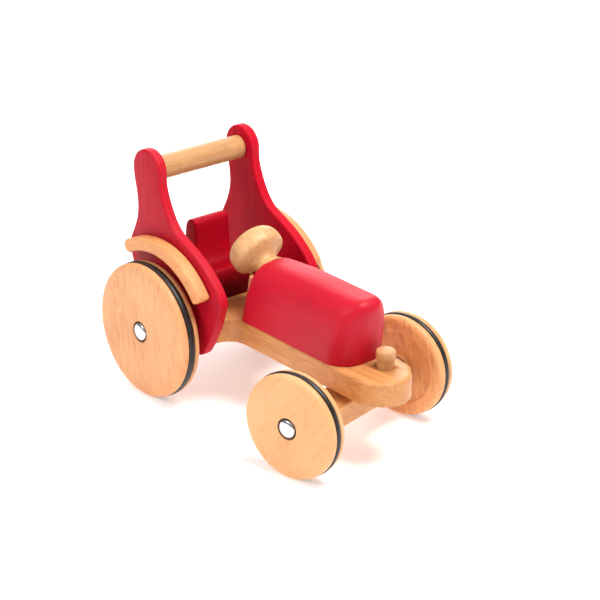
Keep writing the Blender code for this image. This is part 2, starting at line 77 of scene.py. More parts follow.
class Nodes:
    """A short way to write a node tree."""

    def __init__(self, name, place=None):
        self.place = place
        self.material = bpy.data.materials.new(name)
        self.material.use_nodes = True
        self.tree = self.material.node_tree
        self.shader = self.tree.nodes["Principled BSDF"]

    def add(self, kind, **settings):
        node = self.tree.nodes.new(kind)
        for key, value in settings.items():
            setattr(node, key, value)
        return node

    def link(self, source, target):
        self.tree.links.new(source, target)

    def value(self, node, name, value):
        if hasattr(value, "is_output"):
            self.link(value, node.inputs[name])
        else:
            node.inputs[name].default_value = value

    def math(self, operation, a, b=0.0):
        node = self.add("ShaderNodeMath", operation=operation)
        self.value(node, 0, a)
        self.value(node, 1, b)
        return node.outputs[0]

    def mix(self, factor, a, b):
        node = self.add("ShaderNodeMix", data_type="RGBA")
        self.value(node, 0, factor)
        for index, colour in ((6, a), (7, b)):
            self.value(node, index, colour if hasattr(colour, "is_output") else (*colour, 1.0))
        return node.outputs[2]

    def local(self):
        """The point in the piece's own frame: its hub or middle at zero and its axis along Z."""
        point = self.add("ShaderNodeTexCoord").outputs["Object"]
        if self.place is None:
            return point
        mapping = self.add("ShaderNodeMapping", vector_type="TEXTURE")
        mapping.inputs["Location"].default_value = self.place.to_translation()
        mapping.inputs["Rotation"].default_value = self.place.to_euler()
        self.link(point, mapping.inputs["Vector"])
        return mapping.outputs[0]

    def coordinates(self, scale, shift=(0.0, 0.0, 0.0)):
        mapping = self.add("ShaderNodeMapping")
        mapping.inputs["Scale"].default_value = scale
        mapping.inputs["Location"].default_value = shift
        self.link(self.local(), mapping.inputs["Vector"])
        return mapping.outputs[0]

    def noise(self, where, scale, detail=4.0, rough=0.55, distort=0.0):
        node = self.add("ShaderNodeTexNoise")
        self.link(where, node.inputs["Vector"])
        node.inputs["Scale"].default_value = scale
        node.inputs["Detail"].default_value = detail
        node.inputs["Roughness"].default_value = rough
        node.inputs["Distortion"].default_value = distort
        return node.outputs["Fac"]

    def ramp(self, factor, low, high, bottom=0.0, top=1.0):
        node = self.add("ShaderNodeMapRange", clamp=True)
        self.value(node, "Value", factor)
        node.inputs["From Min"].default_value = low
        node.inputs["From Max"].default_value = high
        node.inputs["To Min"].default_value = bottom
        node.inputs["To Max"].default_value = top
        return node.outputs[0]

    def bump(self, height, strength, distance, before=None):
        node = self.add("ShaderNodeBump")
        node.inputs["Strength"].default_value = strength
        node.inputs["Distance"].default_value = distance
        self.link(height, node.inputs["Height"])
        if before is not None:
            self.link(before, node.inputs["Normal"])
        return node.outputs[0]


def wood(name, light, dark, grain="X", shift=0.0, contrast=1.0, place=None, lathe=False, hub=None):
    """Oiled close-grained wood. grain is the axis of the piece along which the fibres run.

    lathe adds fine turning marks round Z. hub is a wheel's radius in metres: it paints shade as a dark ring
    round the cap, in the gap of its recess, and makes the floor of the dish in the inner face a little
    darker.
    """
    made = Nodes(name, place)
    along = {"X": 0, "Y": 1, "Z": 2}[grain]
    stretch = [1.0, 1.0, 1.0]
    stretch[along] = 0.07
    slow = [1.0, 1.0, 1.0]
    slow[along] = 0.16
    offset = (shift, shift * 0.7, shift * 1.3)
    wide = made.coordinates(tuple(slow), shift=offset)
    fine = made.coordinates(tuple(stretch), shift=offset)
    bands = made.noise(wide, 62.0, 2.0, 0.5, 0.35)
    rings = made.math("FRACT", made.math("MULTIPLY", bands, 9.0))
    rings = made.ramp(made.math("ABSOLUTE", made.math("SUBTRACT", rings, 0.5)), 0.30, 0.5)
    streak = made.noise(fine, 420.0, 5.0, 0.6)
    pores = made.noise(fine, 1500.0, 2.0, 0.6)
    patch = made.noise(made.coordinates((1.0, 1.0, 1.0), shift=offset), 24.0, 2.0)
    tone = made.math("MULTIPLY", rings, 0.34 * contrast)
    tone = made.math("ADD", tone, made.ramp(streak, 0.35, 0.75, 0.0, 0.45 * contrast))
    tone = made.math("ADD", tone, made.ramp(patch, 0.35, 0.7, 0.0, 0.38 * contrast))
    colour = made.mix(tone, light, dark)
    pits = made.ramp(pores, 0.60, 0.74)
    colour = made.mix(made.math("MULTIPLY", pits, 0.38 * contrast), colour, tuple(c * 0.45 for c in dark))
    height = made.math("SUBTRACT", made.math("MULTIPLY", streak, 0.6), made.math("MULTIPLY", pits, 0.7))
    normal = made.bump(height, 0.28, 0.00022)
    if lathe:
        turning = made.add("ShaderNodeTexWave", wave_type="RINGS", rings_direction="Z")
        made.link(made.coordinates((1.0, 1.0, 1.0)), turning.inputs["Vector"])
        turning.inputs["Scale"].default_value = 240.0
        turning.inputs["Distortion"].default_value = 0.6
        turning.inputs["Detail"].default_value = 2.0
        normal = made.bump(turning.outputs["Fac"], 0.10, 0.00012, normal)
    if hub:
        split = made.add("ShaderNodeSeparateXYZ")
        made.link(made.local(), split.inputs[0])
        radius = made.math("SQRT", made.math("ADD", made.math("POWER", split.outputs["X"], 2.0),
                                             made.math("POWER", split.outputs["Y"], 2.0)))
        # Painted shade: a dark ring round the cap, in the shadowed gap of its recess.
        colour = made.mix(made.ramp(radius, 0.0082, 0.0089, 0.92, 0.0), colour, CAP_RECESS_SHADE)
        # The floor of the dish in the inner face is made a little darker.
        inside = made.math("MULTIPLY", made.ramp(split.outputs["Z"], -0.0066, -0.0060, 1.0, 0.0),
                           made.ramp(radius, 0.66 * hub, 0.72 * hub, 1.0, 0.0))
        colour = made.mix(made.math("MULTIPLY", inside, 0.14), colour, tuple(c * 0.55 for c in dark))
    made.link(colour, made.shader.inputs["Base Color"])
    made.link(made.ramp(streak, 0.3, 0.8, OILED_ROUGHNESS - 0.06, OILED_ROUGHNESS + 0.12),
              made.shader.inputs["Roughness"])
    made.link(normal, made.shader.inputs["Normal"])
    made.shader.inputs["Specular IOR Level"].default_value = 0.35
    made.shader.inputs["Coat Weight"].default_value = 0.05
    made.shader.inputs["Coat Roughness"].default_value = 0.32
    return made


def red_wood(name, grain, shift, plies=None, face=(0.54, 0.003, 0.020), rough=0.48, place=None,
             figure=1.0, gloss=0.16, painted_shade_heights=None):
    """Red-stained wood with the grain showing through. plies is the axis across a plywood panel.

    The last argument gives two heights in metres for painted shade: the colour is at its darkest below the
    first and fades back to its usual colour by the second.
    """
    made = Nodes(name, place)
    along = {"X": 0, "Y": 1, "Z": 2}[grain]
    stretch = [1.0, 1.0, 1.0]
    stretch[along] = 0.06
    offset = (shift, shift * 0.6, shift * 1.7)
    fine = made.coordinates(tuple(stretch), shift=offset)
    streak = made.noise(fine, 380.0, 5.0, 0.62)
    pores = made.noise(fine, 1300.0, 2.0, 0.6)
    patch = made.noise(made.coordinates((1.0, 1.0, 1.0), shift=offset), 30.0, 3.0, 0.6)
    tone = made.math("ADD", made.ramp(streak, 0.3, 0.75, 0.0, 0.50 * figure),
                     made.ramp(patch, 0.35, 0.7, 0.0, 0.35 * figure))
    colour = made.mix(tone, face, tuple(c * 0.62 for c in face))
    pits = made.ramp(pores, 0.58, 0.72)
    colour = made.mix(made.math("MULTIPLY", pits, 0.40 * figure), colour, tuple(c * 0.3 for c in face))
    # Painted shade: between the two heights the colour darkens towards the bottom of the piece.
    if painted_shade_heights:
        split = made.add("ShaderNodeSeparateXYZ")
        made.link(made.local(), split.inputs[0])
        painted_shade = made.ramp(split.outputs["Z"], painted_shade_heights[0], painted_shade_heights[1], 0.85, 0.0)
        colour = made.mix(painted_shade, colour, tuple(c * 0.12 for c in face))
    height = made.math("SUBTRACT", made.math("MULTIPLY", streak, 0.5), made.math("MULTIPLY", pits, 0.8))
    if plies:
        normal = made.add("ShaderNodeNewGeometry").outputs["Normal"]
        split = made.add("ShaderNodeSeparateXYZ")
        to_object = made.add("ShaderNodeVectorTransform", vector_type="NORMAL", convert_from="WORLD",
                             convert_to="OBJECT")
        made.link(normal, to_object.inputs[0])
        made.link(to_object.outputs[0], split.inputs[0])
        facing = made.math("ABSOLUTE", split.outputs["XYZ".index(plies)])
        on_edge = made.ramp(facing, 0.55, 0.88, 1.0, 0.0)
        across = made.add("ShaderNodeSeparateXYZ")
        made.link(made.local(), across.inputs[0])
        wobble = made.math("MULTIPLY", made.math("SUBTRACT", patch, 0.5), 0.00035)
        depth = made.math("ADD", across.outputs["XYZ".index(plies)], wobble)
        layer = made.math("FRACT", made.math("DIVIDE", depth, PLY_PAIR))
        from_middle = made.math("ABSOLUTE", made.math("SUBTRACT", layer, 0.5))
        dark_ply = made.ramp(from_middle, 0.20, 0.29)
        from_glue = made.math("ABSOLUTE", made.math("SUBTRACT", from_middle, 0.245))
        glue = made.ramp(from_glue, 0.0, 0.05, 1.0, 0.0)
        side = made.mix(made.math("MULTIPLY", dark_ply, 0.50), EDGE_RED, tuple(c * 0.55 for c in EDGE_RED))
        side = made.mix(made.math("MULTIPLY", glue, 0.60), side, tuple(c * 0.28 for c in EDGE_RED))
        colour = made.mix(on_edge, colour, side)
        groove = made.math("MULTIPLY", made.math("MULTIPLY", glue, on_edge), 0.8)
        height = made.math("SUBTRACT", height, groove)
    made.link(colour, made.shader.inputs["Base Color"])
    made.link(made.ramp(streak, 0.3, 0.8, rough - 0.06, rough + 0.14), made.shader.inputs["Roughness"])
    made.link(made.bump(height, 0.30, 0.00022), made.shader.inputs["Normal"])
    made.shader.inputs["Specular IOR Level"].default_value = gloss
    return made


def rubber(name, place):
    """Black rubber with a little dust on it."""
    made = Nodes(name, place)
    point = made.coordinates((1.0, 1.0, 1.0))
    dust = made.noise(point, 160.0, 4.0, 0.6)
    grit = made.noise(point, 2600.0, 2.0, 0.6)
    colour = made.mix(made.ramp(dust, 0.42, 0.75, 0.0, 0.6), (0.009, 0.008, 0.007), (0.030, 0.025, 0.020))
    made.link(colour, made.shader.inputs["Base Color"])
    made.link(made.ramp(dust, 0.3, 0.7, 0.30, 0.46), made.shader.inputs["Roughness"])
    made.link(made.bump(grit, 0.25, 0.00010), made.shader.inputs["Normal"])
    return made


def bright_metal(name, colour, rough, drawn=False):
    """Bare metal with fine wear. drawn stretches the wear along Z."""
    made = Nodes(name)
    point = made.coordinates((1.0, 1.0, 0.04) if drawn else (1.0, 1.0, 1.0))
    wear = made.noise(point, 900.0, 4.0, 0.6)
    made.link(made.mix(made.ramp(wear, 0.4, 0.75, 0.0, 0.5), colour, tuple(c * 0.8 for c in colour)),
              made.shader.inputs["Base Color"])
    made.link(made.ramp(wear, 0.35, 0.75, rough, rough + 0.12), made.shader.inputs["Roughness"])
    made.link(made.bump(wear, 0.05, 0.00008), made.shader.inputs["Normal"])
    made.shader.inputs["Metallic"].default_value = 1.0
    return made


def plain_plastic(name, colour):
    """Moulded plastic with a fine speckle."""
    made = Nodes(name)
    speckle = made.noise(made.coordinates((1.0, 1.0, 1.0)), 1200.0, 3.0, 0.6)
    made.link(made.mix(made.ramp(speckle, 0.4, 0.7, 0.0, 0.4), colour, tuple(c * 0.85 for c in colour)),
              made.shader.inputs["Base Color"])
    made.link(made.ramp(speckle, 0.3, 0.7, 0.42, 0.6), made.shader.inputs["Roughness"])
    made.link(made.bump(speckle, 0.15, 0.00008), made.shader.inputs["Normal"])
    return made


# ------------------------------------------------------------------- shapes

def mesh_object(name, vertices, faces, place, crease):
    """One smooth-shaded closed body from vertices in millimetres, with creases over an angle kept sharp."""
    mesh = bpy.data.meshes.new(name)
    mesh.from_pydata([place @ (Vector(v) * MM) for v in vertices], [], faces)
    bm = bmesh.new()
    bm.from_mesh(mesh)
    bmesh.ops.remove_doubles(bm, verts=bm.verts, dist=1e-7)
    bmesh.ops.recalc_face_normals(bm, faces=bm.faces)
    for face in bm.faces:
        face.smooth = True
    for edge in bm.edges:
        edge.smooth = len(edge.link_faces) == 2 and edge.calc_face_angle() < math.radians(crease)
    bm.to_mesh(mesh)
    bm.free()
    made = bpy.data.objects.new(name, mesh)
    bpy.context.scene.collection.objects.link(made)
    return made


def finish_piece(piece, node, look):
    """The piece takes the CAD node's place, gets the material, and rides on the node's body; the CAD node is
    hidden.
    """
    piece.data.materials.append(look.material)
    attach(piece, nodes[node]["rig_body"])
    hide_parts(node)
    return piece


def dress(node, look):
    """A CAD node whose shape is right stays, with a detailed material."""
    piece = nodes[node]
    piece.data.materials.clear()
    piece.data.materials.append(look.material)


def eased(profile, radius, steps):
    """The closed profile with each corner rounded by up to radius."""
    made = []
    count = len(profile)
    for i, point in enumerate(profile):
        here = Vector(point)
        before = Vector(profile[i - 1]) - here
        after = Vector(profile[(i + 1) % count]) - here
        reach = min(radius, before.length * 0.45, after.length * 0.45)
        first, last = here + before.normalized() * reach, here + after.normalized() * reach
        for step in range(steps + 1):
            t = step / steps
            made.append(tuple(first * (1 - t) ** 2 + here * 2 * t * (1 - t) + last * t * t))
    return made


def curve_through(points, steps):
    """A Catmull-Rom curve through the points."""
    ends = [points[0], *points, points[-1]]
    made = []
    for a, b, c, d in zip(ends, ends[1:], ends[2:], ends[3:]):
        for step in range(steps):
            t = step / steps
            made.append(tuple(
                0.5 * (2 * q + (r - p) * t + (2 * p - 5 * q + 4 * r - s) * t * t
                       + (3 * q - p - 3 * r + s) * t * t * t)
                for p, q, r, s in zip(a, b, c, d)
            ))
    made.append(tuple(points[-1]))
    return made


def turned(name, profile, place, segments, closed=False, crease=40.0):
    """A body turned round Z from (radius, height) pairs."""
    vertices = []
    for radius, height in profile:
        for i in range(segments):
            a = 2 * math.pi * i / segments
            vertices.append((radius * math.cos(a), radius * math.sin(a), height))
    faces = []
    rows = len(profile)
    for row in range(rows if closed else rows - 1):
        low, high = row * segments, (row + 1) % rows * segments
        for i in range(segments):
            j = (i + 1) % segments
            faces.append((low + i, low + j, high + j, high + i))
    if not closed:
        faces.append(tuple(range(segments)))
        faces.append(tuple(range((rows - 1) * segments, rows * segments)))
    return mesh_object(name, vertices, faces, place, crease)


def arc(centre, radius, start, end, steps):
    """Points along a circle, with its angles in degrees."""
    turns = [math.radians(start + (end - start) * i / steps) for i in range(steps + 1)]
    return [(centre[0] + radius * math.cos(a), centre[1] + radius * math.sin(a)) for a in turns]


def inward(outline):
    """At each corner of the outline, how far it moves when every side moves in by one."""
    made = []
    count = len(outline)
    for i in range(count):
        a, b, c = (Vector(outline[k % count]) for k in (i - 1, i, i + 1))
        one, two = (b - a).normalized(), (c - b).normalized()
        left_one, left_two = Vector((-one.y, one.x)), Vector((-two.y, two.x))
        middle = (left_one + left_two).normalized()
        made.append(middle / max(0.6, middle.dot(left_one)))
    return made


def slab(name, outline, low, high, edge, place, plane="XY", top_edge=None, steps=5):
    """A board with rounded edges from an anticlockwise outline.

    edge is the edges' radius. top_edge gives the upper edge's radius at each point of the outline.
    """
    step_in = inward(outline)
    count = len(outline)
    rings = []
    for top in (False, True):
        for step in (range(steps, -1, -1) if top else range(steps + 1)):
            turn = math.pi / 2 * step / steps
            ring = []
            for p, n in zip(outline, step_in):
                radius = top_edge(p) if top and top_edge else edge
                inset, rise = radius * (1 - math.sin(turn)), radius * (1 - math.cos(turn))
                ring.append((p[0] + n.x * inset, p[1] + n.y * inset, high - rise if top else low + rise))
            rings.append(ring)
    vertices = [point for ring in rings for point in ring]
    if plane == "XZ":
        vertices = [(x, z, y) for x, y, z in vertices]
    faces = [tuple(range(count)), tuple(range((len(rings) - 1) * count, len(rings) * count))]
    for row in range(len(rings) - 1):
        for i in range(count):
            j = (i + 1) % count
            faces.append((row * count + i, row * count + j, (row + 1) * count + j, (row + 1) * count + i))
    return mesh_object(name, vertices, faces, place, 46.0)


def cut(piece, cutter):
    """Cuts a hole and applies it, so that no helper is left in the scene."""
    modifier = piece.modifiers.new("cut", "BOOLEAN")
    modifier.operation = "DIFFERENCE"
    modifier.solver = "EXACT"
    modifier.object = cutter
    bpy.context.view_layer.update()
    graph = bpy.context.evaluated_depsgraph_get()
    mesh = bpy.data.meshes.new_from_object(piece.evaluated_get(graph))
    piece.modifiers.clear()
    piece.data = mesh
    bpy.data.objects.remove(cutter, do_unlink=True)


def aimed(origin, direction, across=(0.0, 0.0, 1.0)):
    """A frame at origin whose Z runs along direction and whose X stays near across."""
    z = Vector(direction).normalized()
    x = (Vector(across) - z * Vector(across).dot(z)).normalized()
    turn = Matrix((x, z.cross(x), z)).transposed().to_4x4()
    return Matrix.Translation(Vector(origin)) @ turn


# ------------------------------------------------- dimensions of the tractor

# Lengths are in millimetres. The design frame has the rear axle over its origin and the ground at zero.
REAR_X = joints["rear_left_roll"]["pos_m"][0]
DESIGN = Matrix.Translation((REAR_X, 0.0, 0.0))
REAR_RADIUS = 55.0
FRONT_RADIUS = 41.7
REAR_AXLE = (0.0, REAR_RADIUS)
BORE_RADIUS = 4.3  # for the rods and the knob's stem
PANEL_INNER, PANEL_OUTER = 42.0, 51.0
PANEL_HEAD, PANEL_HEAD_RADIUS = (-23.2, 177.6), 16.5
GUARD_INNER, GUARD_OUTER = 51.3, 63.0
GUARD_LOW, GUARD_HIGH = 61.8, 72.8
GUARD_FRONT, GUARD_REAR = 35.8, 118.6
BAR_RADIUS, BAR_HALF_LENGTH, BAR_X, BAR_Z = 9.4, 41.7, -23.0, 176.7
BOARD_BOTTOM, BOARD_TOP = 53.6, 73.0
PEG_HOLE_RADIUS = 7.25
GAP = 0.3
HOOD_REAR, HOOD_FRONT = 60.0, 180.5
HOOD_MIDDLE_Y, HOOD_HALF_WIDTH, HOOD_TOP = -0.7, 24.9, 125.2
HOOD_FULLNESS = 3.0
HOOD_FRONT_PLAN_RADIUS, HOOD_FRONT_TOP_RADIUS, HOOD_REAR_RADIUS = 19.5, 10.5, 8.0
HOOD_LEAN_REAR, HOOD_LEAN_FRONT = 0.18, 0.16
KNOB_SEAT_RADIUS = 14.2
SEAT_REAR, SEAT_FRONT, SEAT_HALF_WIDTH = -17.2, 23.5, 17.0

# ------------------------------------------------------------------- wheels

def wheel_profile(radius, ring_half):
    rim, floor, half = radius - 0.6, radius - 3.7, ring_half + 0.3
    recess = 0.7 * rim
    inner, outer = -9.3, 10.0
    shape = [
        (BORE_RADIUS, inner), (9.0, inner), (10.0, inner + 2.2), (recess, inner + 2.2), (recess + 1.6, inner),
        (rim - 4.2, inner + 0.3), (rim - 1.2, inner + 1.6), (rim, inner + 4.2), (rim, -half),
        (floor, -half), (floor, half), (rim, half), (rim, outer - 4.4), (rim - 0.7, outer - 2.7),
        (rim - 2.4, outer - 1.4), (rim - 6.5, outer - 0.6), (0.6 * rim, outer - 0.1),
        (8.8, outer), (8.3, outer - 0.5), (8.3, outer - 2.0), (BORE_RADIUS, outer - 2.0),
    ]
    return eased(shape, 1.4, 3)


def ring_profile(radius, half):
    low = radius - 3.4
    crown = [(radius - 1.5 + 1.5 * math.sin(a), half * math.cos(a)) for a in
             [math.pi - math.pi * i / 14 for i in range(15)]]
    return [(low, -half), *crown, (low, half)]


def cap_profile():
    low = 8.3
    dome = [(7.4, low + 0.5), (7.35, low + 0.9), (7.1, low + 1.3)]
    dome += [(7.1 * math.cos(a), low + 1.3 + 1.9 * math.sin(a)) for a in
             [math.pi / 2 * i / 10 for i in range(1, 10)]]
    return [(BORE_RADIUS, low + 1.3), (BORE_RADIUS, low), (7.0, low), *dome, (0.3, low + 3.2)]


# Where, ring radius, ring half width, side, grain shift, grain turn, wood colours and grain contrast
WHEELS = (
    ("rear_left", REAR_RADIUS, 2.8, 1, 0.31, 1.45, (0.80, 0.455, 0.200), (0.60, 0.275, 0.100), 1.1),
    ("rear_right", REAR_RADIUS, 2.8, -1, 1.73, 1.72, (0.82, 0.405, 0.178), (0.62, 0.245, 0.090), 0.95),
    ("front_left", FRONT_RADIUS, 2.1, 1, 2.90, 1.30, (0.94, 0.458, 0.185), (0.60, 0.218, 0.071), 1.1),
    ("front_right", FRONT_RADIUS, 2.1, -1, 4.10, 1.05, (0.86, 0.445, 0.198), (0.70, 0.310, 0.116), 0.8),
)
for where, radius, ring_half, sign, shift, turn, light, dark, contrast in WHEELS:
    joint = joints[f"{where}_roll"]
    hub, axle = Vector(joint["pos_m"]), Vector(joint["axis"]) * sign
    across = Matrix.Rotation(turn, 4, axle) @ Vector((1.0, 0.0, 0.0))
    place = aimed(hub, axle, across)
    look = wood(f"wheel_wood_{where}", light, dark, "X", shift, contrast,
                place=place, lathe=True, hub=radius * MM)
    made = turned(f"turned_wheel_{where}", wheel_profile(radius, ring_half), place, 144, True, 50.0)
    finish_piece(made, f"wheel_{where}", look)
    made = turned(f"tyre_ring_{where}", ring_profile(radius, ring_half), place, 144, True, 50.0)
    finish_piece(made, f"rubber_ring_{where}", rubber(f"ring_rubber_{where}", place))
    made = turned(f"push_cap_{where}", cap_profile(), place, 64)
    finish_piece(made, f"axle_cap_{where}", bright_metal(f"cap_metal_{where}", (0.60, 0.60, 0.62), 0.14))


# -------------------------------------------------------------- side panels

PANEL_OUTLINE = (
    (-5.9, 167.5), (-1.3, 155.5), (6.0, 143.3), (14.5, 135.3), (27.0, 129.6),
    (39.5, 123.6), (51.0, 116.2), (60.5, 108.0), (66.8, 100.0), (69.3, 93.2), (67.3, 86.5),
    (63.3, 73.5), (57.5, 61.0), (51.8, 51.0), (47.5, 45.6), (41.0, 43.2), (20.0, 43.0),
    (-20.0, 43.0), (-31.0, 44.5), (-37.0, 50.0), (-40.0, 60.0), (-41.0, 80.0), (-41.6, 96.0),
    (-44.3, 103.0), (-45.6, 110.5), (-43.6, 116.5), (-39.3, 125.4), (-36.2, 133.5),
    (-34.7, 141.0), (-34.6, 148.0), (-35.8, 156.5), (-38.1, 165.5), (-39.5, 172.5),
)


def panel_outline():
    head = arc(PANEL_HEAD, PANEL_HEAD_RADIUS, 0.0, 180.0, 28)
    edge = curve_through([head[-1], *reversed(PANEL_OUTLINE), head[0]], 5)
    return head + edge[1:-1]


def guard_outline():
    low, high, front, rear = GUARD_LOW, GUARD_HIGH, GUARD_FRONT, GUARD_REAR
    turn, middle = math.radians(rear), (low + high) / 2
    end = (REAR_AXLE[0] + middle * math.cos(turn), REAR_AXLE[1] + middle * math.sin(turn))
    outline = arc(REAR_AXLE, high, front + 1.8, rear, 60)
    outline += arc(end, (high - low) / 2, rear, rear + 180.0, 20)[1:-1]
    outline += arc(REAR_AXLE, low, rear, front + 2.0, 60)
    for radius, turn in ((low + 0.9, 0.5), (low + 2.4, 0.0), (high - 2.4, 0.0), (high - 0.7, 0.5)):
        outline += arc(REAR_AXLE, radius, front + turn, front + turn, 1)[:1]
    return outline


def along_y(x, z, start):
    """A frame for a straight hole cutter along +Y, in the design frame."""
    return DESIGN @ Matrix.Translation(Vector((x, start, z)) * MM) @ Matrix.Rotation(-math.pi / 2, 4, "X")


# The left guard's wood is darker than the right's: painted shade, as if the left guard stood in shadow.
GUARD_COLOURS_LEFT_SHADED = {
    "right": ((0.84, 0.370, 0.140), (0.62, 0.235, 0.078)),
    "left": ((0.74, 0.380, 0.160), (0.54, 0.240, 0.085)),
}
for side, sign, shift in (("right", -1, 0.0), ("left", 1, 5.0)):
    half = (PANEL_OUTER - PANEL_INNER) / 2
    centre = Matrix.Translation((0.0, sign * (PANEL_INNER + half) * MM, 0.0))
    panel = slab(f"ply_panel_{side}", panel_outline(), -half, half, 1.8, DESIGN @ centre, "XZ")
    cut(panel, turned("cutter", [(BORE_RADIUS, -10.0), (BORE_RADIUS, 10.0)],
                      centre @ along_y(*REAR_AXLE, 0.0), 48))
    finish_piece(panel, f"side_panel_{side}",
                 red_wood(f"panel_ply_{side}", "Z", shift, plies="Y", place=DESIGN @ centre,
                          gloss=0.18 if side == "right" else 0.06))
    near, far = sorted((sign * GUARD_INNER, sign * GUARD_OUTER))
    guard = slab(f"guard_{side}", guard_outline(), near, far, 2.4, DESIGN, "XZ", steps=6)
    light, dark = GUARD_COLOURS_LEFT_SHADED[side]
    finish_piece(guard, f"mudguard_{side}", wood(f"guard_wood_{side}", light, dark, "X", shift + 0.9, 0.9))


# ---------------------------------------------------------------------- bar

bar_middle = Matrix.Translation(Vector((BAR_X, 0.0, BAR_Z)) * MM)
bar_place = DESIGN @ bar_middle @ Matrix.Rotation(math.pi / 2, 4, "X")
bar_ends = [(BAR_RADIUS, -BAR_HALF_LENGTH), (BAR_RADIUS, BAR_HALF_LENGTH)]
bar = turned("carrying_bar", bar_ends, bar_place, 72)
finish_piece(bar, "handle_bar", wood("bar_wood", (0.63, 0.325, 0.132), (0.47, 0.215, 0.080), "Y", 2.2, 1.0))


# ------------------------------------------------------------ chassis board

def chassis_outline():
    sides = []
    for sign, edge_y in ((-1, -25.6), (1, 23.6)):
        rear = [(-32.0, -37.7), (-31.6, -39.4), (-30.7, -40.6), (-29.6, -41.3), (-28.0, -41.7), (51.5, -41.7)]
        fillet = arc((68.5, -abs(edge_y) - 15.5), 15.5, 178.0, 90.0, 20)
        shoulder = [(168.0, -abs(edge_y)), (201.0, -abs(edge_y) + 0.2), (202.1, -abs(edge_y) + 0.5),
                    (203.0, -abs(edge_y) + 1.0)]
        sides.append([(x, -sign * y) for x, y in rear + fillet + shoulder])
    nose = arc((199.3, -1.5), 21.9, -68.0, 68.0, 48)
    return sides[0] + nose + sides[1][::-1]


def nose_edge(point):
    share = min(1.0, max(0.0, (point[0] - 182.0) / 20.0))
    return 1.6 + 1.4 * share


kingpin = Vector(joints["front_steer"]["pos_m"])
board = slab("board", chassis_outline(), BOARD_BOTTOM, BOARD_TOP, 1.6, DESIGN, top_edge=nose_edge)
cut(board, turned("cutter", [(PEG_HOLE_RADIUS, 40.0), (PEG_HOLE_RADIUS, 90.0)],
                  Matrix.Translation((kingpin.x, kingpin.y, 0.0)), 72))
# The groove under the board for the rear rod
cut(board, mesh_object("cutter", [(x, y, z) for x in (-4.4, 4.4) for y in (-60, 60) for z in (48.0, 59.3)],
                       [(0, 1, 3, 2), (4, 6, 7, 5), (0, 4, 5, 1), (2, 3, 7, 6), (0, 2, 6, 4), (1, 5, 7, 3)],
                       DESIGN, 40.0))
finish_piece(board, "chassis_board",
             wood("board_wood", (0.72, 0.330, 0.112), (0.50, 0.186, 0.054), "X", 3.3, 1.1))


# --------------------------------------------------------------------- hood

def quarter(distance, radius):
    """How far a rounded edge of this radius stands back at this distance from its end."""
    short = max(0.0, radius - distance)
    return radius - math.sqrt(max(0.0, radius * radius - short * short))


def hood_section(x):
    """Half width, top and forward lean of the hood at a length x."""
    from_front, from_rear = HOOD_FRONT - x, x - HOOD_REAR
    share = from_rear / (HOOD_FRONT - HOOD_REAR)
    width = HOOD_HALF_WIDTH - quarter(from_front, HOOD_FRONT_PLAN_RADIUS)
    width -= quarter(from_rear, HOOD_REAR_RADIUS)
    top = HOOD_TOP - 4.0 * max(0.0, 1.0 - share / 0.45) ** 1.6
    top -= quarter(from_front, HOOD_FRONT_TOP_RADIUS) + quarter(from_rear, HOOD_REAR_RADIUS)
    return width, top, HOOD_LEAN_REAR + (HOOD_LEAN_FRONT - HOOD_LEAN_REAR) * share


def hood_shell():
    rear_end, front_start = HOOD_REAR + HOOD_REAR_RADIUS, HOOD_FRONT - HOOD_FRONT_PLAN_RADIUS
    steps = [HOOD_REAR + HOOD_REAR_RADIUS * (1 - math.cos(math.pi / 2 * i / 9)) for i in range(10)]
    steps += [rear_end + (front_start - rear_end) * i / 22 for i in range(1, 22)]
    steps += [HOOD_FRONT - HOOD_FRONT_PLAN_RADIUS * (1 - math.cos(math.pi / 2 * (1 - i / 18)))
              for i in range(19)]
    foot = BOARD_TOP + GAP
    power = 2 / HOOD_FULLNESS
    count = 61
    vertices = []
    for x in steps:
        width, top, lean = hood_section(x)
        for i in range(count):
            turn = math.pi * i / (count - 1)
            across = math.copysign(abs(math.cos(turn)) ** power, math.cos(turn))
            up = (top - foot) * abs(math.sin(turn)) ** power if 0 < i < count - 1 else 0.0
            vertices.append((x + lean * up, HOOD_MIDDLE_Y + width * across, foot + up))
    rows = len(steps)
    faces = [tuple(range(count)), tuple(range((rows - 1) * count, rows * count))]
    for row in range(rows - 1):
        for i in range(count):
            j = (i + 1) % count
            faces.append((row * count + i, row * count + j, (row + 1) * count + j, (row + 1) * count + i))
    return mesh_object("hood_block", vertices, faces, DESIGN, 60.0)


knob_base = Vector(joints["knob_turn"]["pos_m"])
knob_place = aimed(knob_base, joints["knob_turn"]["axis"], (0.0, 1.0, 0.0))
hood = hood_shell()
cut(hood, turned("cutter", [(KNOB_SEAT_RADIUS, 0.0), (KNOB_SEAT_RADIUS, 40.0)], knob_place, 96))
cut(hood, turned("cutter", [(BORE_RADIUS, -20.3), (BORE_RADIUS, 5.0)], knob_place, 48))
finish_piece(hood, "hood", red_wood("hood_red", "X", 7.7, face=(0.60, 0.005, 0.024), rough=0.44,
                                    figure=0.6, gloss=0.24))


# -------------------------------------------------------------- knob and peg

KNOB_PROFILE = (
    (12.4, 0.3), (12.7, 1.0), (11.6, 2.6), (10.1, 4.6), (10.0, 7.4), (12.3, 10.2), (17.0, 12.8),
    (20.6, 15.0), (21.7, 17.5), (21.8, 21.5), (21.3, 25.0), (19.6, 28.5), (16.4, 31.2),
    (11.0, 33.0), (5.0, 33.8),
)
profile = curve_through(KNOB_PROFILE, 4)
knob = turned("turned_knob", [*profile, (0.4, 33.8)], knob_place, 96, crease=60.0)
cut(knob, turned("cutter", [(BORE_RADIUS, -5.0), (BORE_RADIUS, 16.3)], knob_place, 48))
finish_piece(knob, "steering_knob",
             wood("knob_wood", (0.78, 0.455, 0.205), (0.55, 0.270, 0.105), "Z", 1.1, 1.1,
                  place=knob_place, lathe=True))

